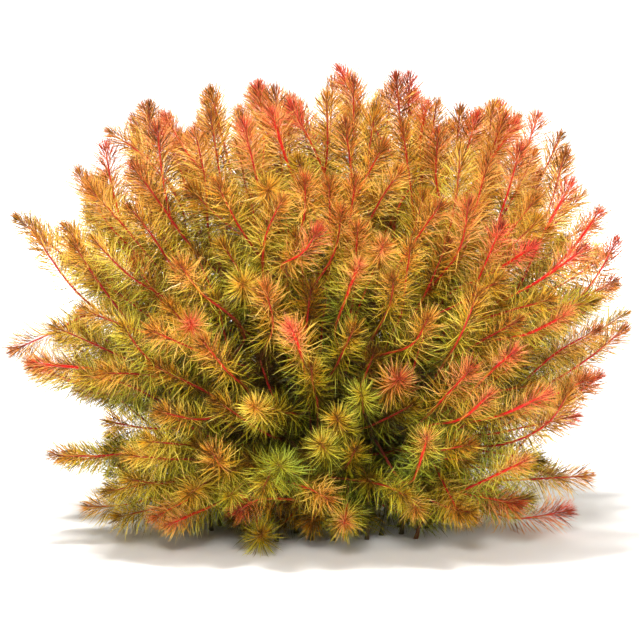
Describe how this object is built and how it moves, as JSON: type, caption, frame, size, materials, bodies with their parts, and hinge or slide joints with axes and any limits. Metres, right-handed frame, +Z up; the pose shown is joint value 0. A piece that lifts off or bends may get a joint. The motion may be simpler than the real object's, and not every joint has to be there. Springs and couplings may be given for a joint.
{
  "type": "cambodia rotala plant",
  "caption": "Dense dome of upright red stems that fan out from a rooted middle, each ending in a foxtail of whorled needle leaves, for planted tanks and bog gardens.",
  "frame": {"origin": "middle of the central stem's cut foot, on the surface that the bush stands on", "axes": "+Z up, +X to the right and -Y towards the viewer as the picture shows the bush"},
  "size_m": [0.2952, 0.2512, 0.2214],
  "materials": {
    "yellow_green_leaves": "matt living needle leaves on a fine red stem",
    "golden_leaves": "matt living needle leaves on a fine red stem",
    "orange_leaves": "matt living needle leaves on a fine red stem",
    "red_leaves": "matt living needle leaves on a fine red stem"
  },
  "bodies": {
    "root": {"stem_01": "red_leaves", "stem_02": "golden_leaves", "stem_03": "orange_leaves", "stem_04": "golden_leaves", "stem_05": "golden_leaves", "stem_06": "orange_leaves", "stem_07": "golden_leaves", "stem_08": "golden_leaves", "stem_09": "orange_leaves", "stem_10": "orange_leaves", "stem_11": "golden_leaves", "stem_12": "golden_leaves", "stem_13": "orange_leaves", "stem_14": "orange_leaves", "stem_15": "orange_leaves", "stem_16": "orange_leaves", "stem_17": "orange_leaves", "stem_18": "orange_leaves", "stem_19": "golden_leaves", "stem_20": "orange_leaves", "stem_21": "red_leaves", "stem_22": "orange_leaves", "stem_23": "orange_leaves", "stem_24": "orange_leaves", "stem_25": "orange_leaves", "stem_26": "golden_leaves", "stem_27": "orange_leaves", "stem_28": "orange_leaves", "stem_29": "orange_leaves", "stem_30": "orange_leaves", "stem_31": "orange_leaves", "stem_32": "orange_leaves", "stem_33": "yellow_green_leaves", "stem_34": "red_leaves", "stem_35": "red_leaves", "stem_36": "red_leaves", "stem_37": "golden_leaves", "stem_38": "orange_leaves", "stem_39": "red_leaves", "stem_40": "orange_leaves", "stem_41": "golden_leaves", "stem_42": "orange_leaves", "stem_43": "orange_leaves", "stem_44": "red_leaves", "stem_45": "yellow_green_leaves", "stem_46": "orange_leaves", "stem_47": "orange_leaves", "stem_48": "golden_leaves"}
  },
  "joints": []
}
